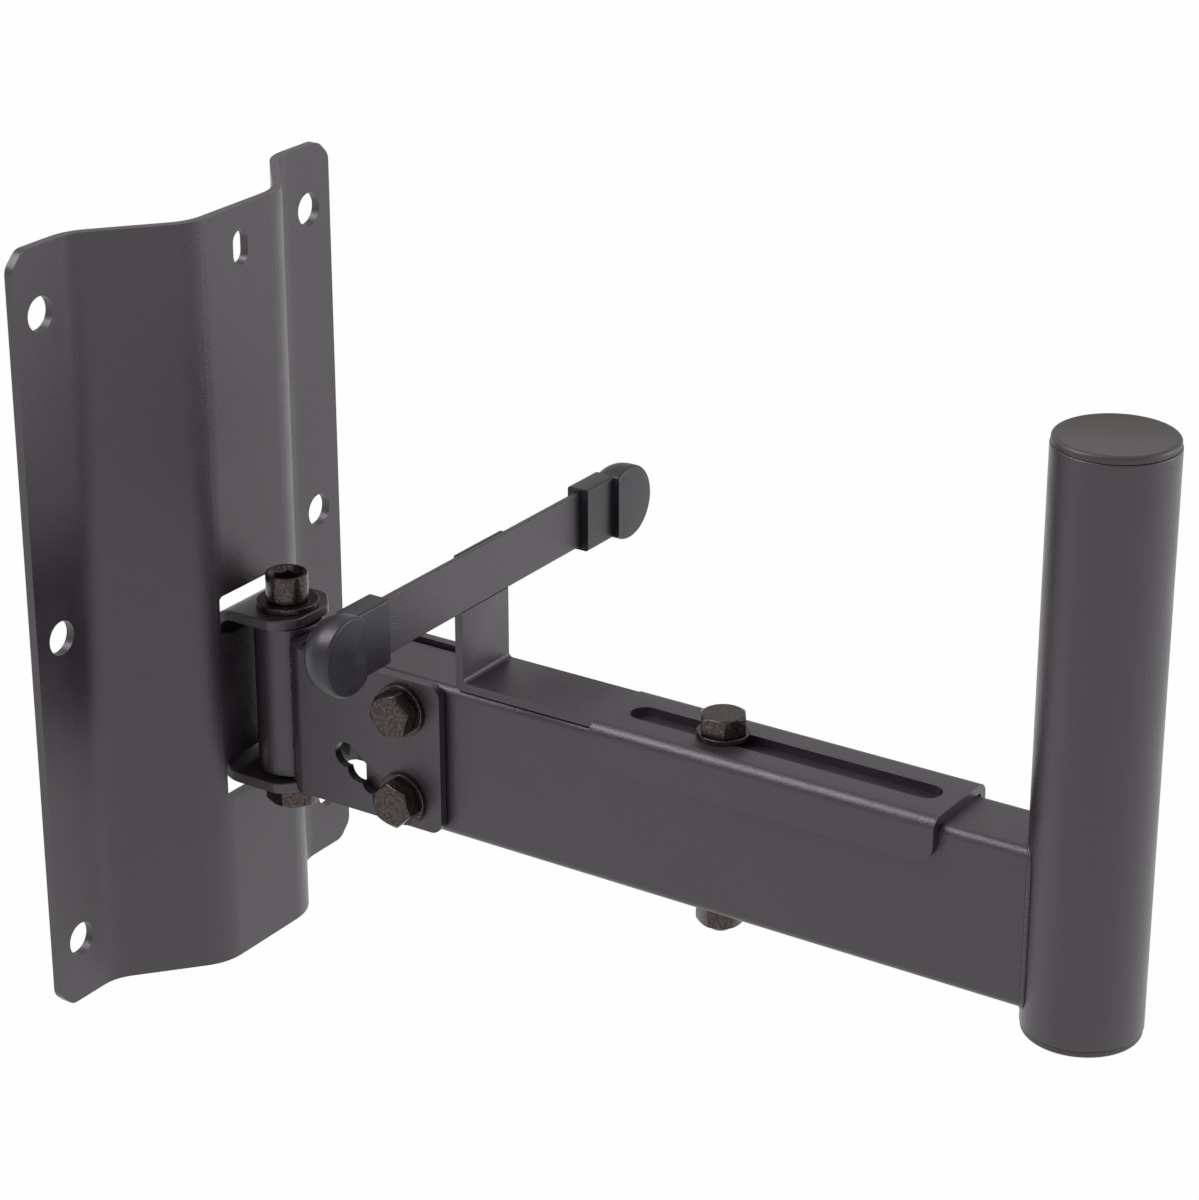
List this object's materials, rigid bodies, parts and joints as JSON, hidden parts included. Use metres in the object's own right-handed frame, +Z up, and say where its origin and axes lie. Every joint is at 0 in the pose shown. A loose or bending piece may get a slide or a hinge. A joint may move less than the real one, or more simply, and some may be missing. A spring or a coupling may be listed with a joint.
{
  "type": "loudspeaker wall bracket",
  "caption": "Folded wall plate with a swivelling, tilting arm that carries an upright pole, and a sliding padded stop that steadies the speaker.",
  "frame": {"origin": "centre of the wall hole pattern, on the wall", "axes": "+X along the wall, +Y into the wall, +Z up; the arm reaches towards -Y"},
  "size_m": [0.1688, 0.3375, 0.25],
  "materials": {
    "powder_coat": "satin black powder coat with a fine texture",
    "black_oxide": "black oxide, lightly oiled",
    "pad_rubber": "matt moulded rubber, slightly blue",
    "cap_plastic": "fine matt moulded plastic"
  },
  "bodies": {
    "wall_side": {"wall_plate": "powder_coat", "hinge_clevis": "powder_coat", "clevis_welds": "powder_coat", "hinge_bolt": "black_oxide", "hinge_washer": "black_oxide", "hinge_nut": "black_oxide"},
    "swivel_head": {"hinge_barrel": "powder_coat", "barrel_welds": "powder_coat", "tilt_bracket": "powder_coat"},
    "arm": {"arm_tube": "powder_coat", "pole_tube": "powder_coat", "pole_weld": "powder_coat", "pole_top_cap": "cap_plastic", "pole_bottom_cap": "cap_plastic", "tilt_pivot_bolt": "black_oxide", "tilt_pivot_washers": "black_oxide", "tilt_pivot_nut": "black_oxide", "tilt_lock_bolt": "black_oxide", "tilt_lock_washers": "black_oxide", "tilt_lock_nut": "black_oxide", "slider_bolt": "black_oxide", "slider_washers": "black_oxide", "slider_nut": "black_oxide"},
    "stop": {"stop_slider": "powder_coat", "crossbar": "powder_coat", "crossbar_welds": "powder_coat", "left_pad": "pad_rubber", "right_pad": "pad_rubber"}
  },
  "joints": [
    {"name": "swivel", "type": "hinge", "parent": "wall_side", "child": "swivel_head", "pos_m": [0, -0.04, -0.0325], "axis": [0, 0, 1], "range_deg": [-45, 45]},
    {"name": "tilt", "type": "hinge", "parent": "swivel_head", "child": "arm", "pos_m": [0, -0.096, -0.0187], "axis": [1, 0, 0], "range_deg": [0, 46]},
    {"name": "stop_slide", "type": "slide", "parent": "arm", "child": "stop", "axis": [0, -1, 0], "range_m": [-0.036, 0.018]}
  ]
}
